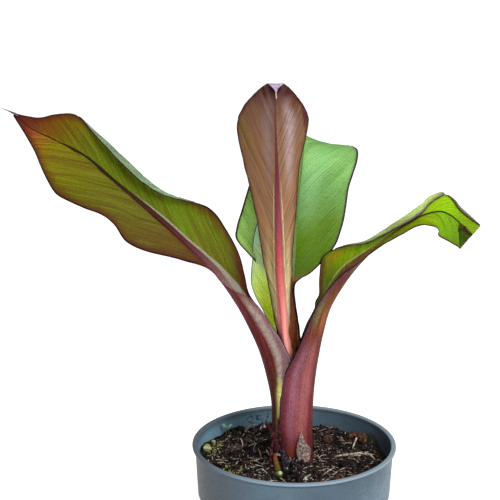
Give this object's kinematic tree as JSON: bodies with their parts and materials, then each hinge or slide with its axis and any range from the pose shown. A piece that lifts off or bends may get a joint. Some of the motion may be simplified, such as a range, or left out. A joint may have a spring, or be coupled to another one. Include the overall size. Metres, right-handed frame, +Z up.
{
  "type": "potted banana plant",
  "caption": "Young red-tinged banana plant with broad arching leaves on a short sheathed stem, in a round tapered nursery pot of compost.",
  "frame": {"origin": "middle of the pot's flat underside", "axes": "+Z up along the pot's axis, +X towards the plant's right in the picture, -Y towards the viewer"},
  "size_m": [0.3764, 0.189, 0.4298],
  "materials": {
    "pot_plastic": "satin, blue-grey, with fine scuffs",
    "compost": "matt, crumbly, with bark, straw and white grains",
    "stem": "smooth wine-red sheaths with a grey bloom",
    "stalk": "smooth, dark red to mauve, fine lengthwise streaks",
    "stalk_pink": "smooth bright pink rib with pale flanks",
    "leaf_green": "half-gloss olive to lime green, dark red margins",
    "leaf_pale": "half-gloss mid green with fine veins and purple margins",
    "leaf_bronze": "half-gloss bronze-mauve with fine veins and a pink rib"
  },
  "bodies": {
    "root": {"pot": "pot_plastic", "compost": "compost", "pseudostem": "stem", "stalk_left": "stalk", "stalk_right": "stalk", "stalk_centre": "stalk_pink", "stalk_back": "stalk", "leaf_left": "leaf_green", "leaf_right": "leaf_green", "leaf_right_tip": "leaf_green", "leaf_centre": "leaf_bronze", "leaf_back": "leaf_pale", "leaf_back_tip": "leaf_pale"}
  },
  "joints": []
}
